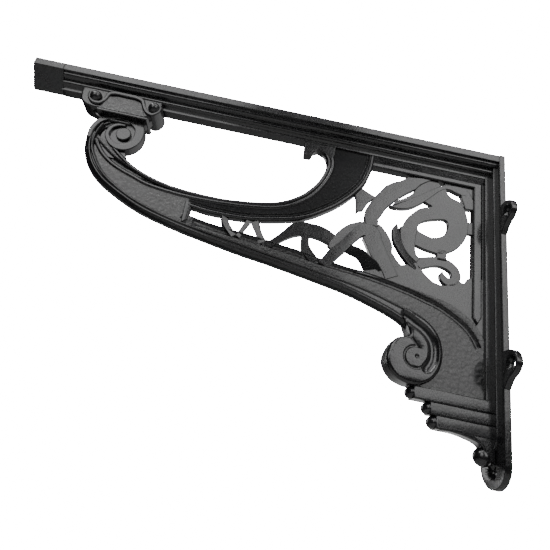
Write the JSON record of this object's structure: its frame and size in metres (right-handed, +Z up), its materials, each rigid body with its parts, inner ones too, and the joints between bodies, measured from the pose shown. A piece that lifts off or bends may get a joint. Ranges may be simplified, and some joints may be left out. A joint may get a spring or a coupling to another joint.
{
  "type": "shelf bracket",
  "caption": "Cast iron shelf bracket with a moulded rail, a scrolled arm, pierced leaf tracery and a wall plate with screw lugs. Holds up a shelf board.",
  "frame": {"origin": "on the wall plate's back face, on the middle line of the plate, halfway between the centres of the upper and the lower pair of screw lugs", "axes": "+Z up, -X along the shelf rail away from the wall, so the wall is on the +X side; +Y across the bracket, whose web lies in the plane y = 0"},
  "size_m": [0.312, 0.0494, 0.203],
  "materials": {
    "iron": "gloss black paint over cast iron"
  },
  "bodies": {
    "root": {"bracket": "iron"}
  },
  "joints": []
}
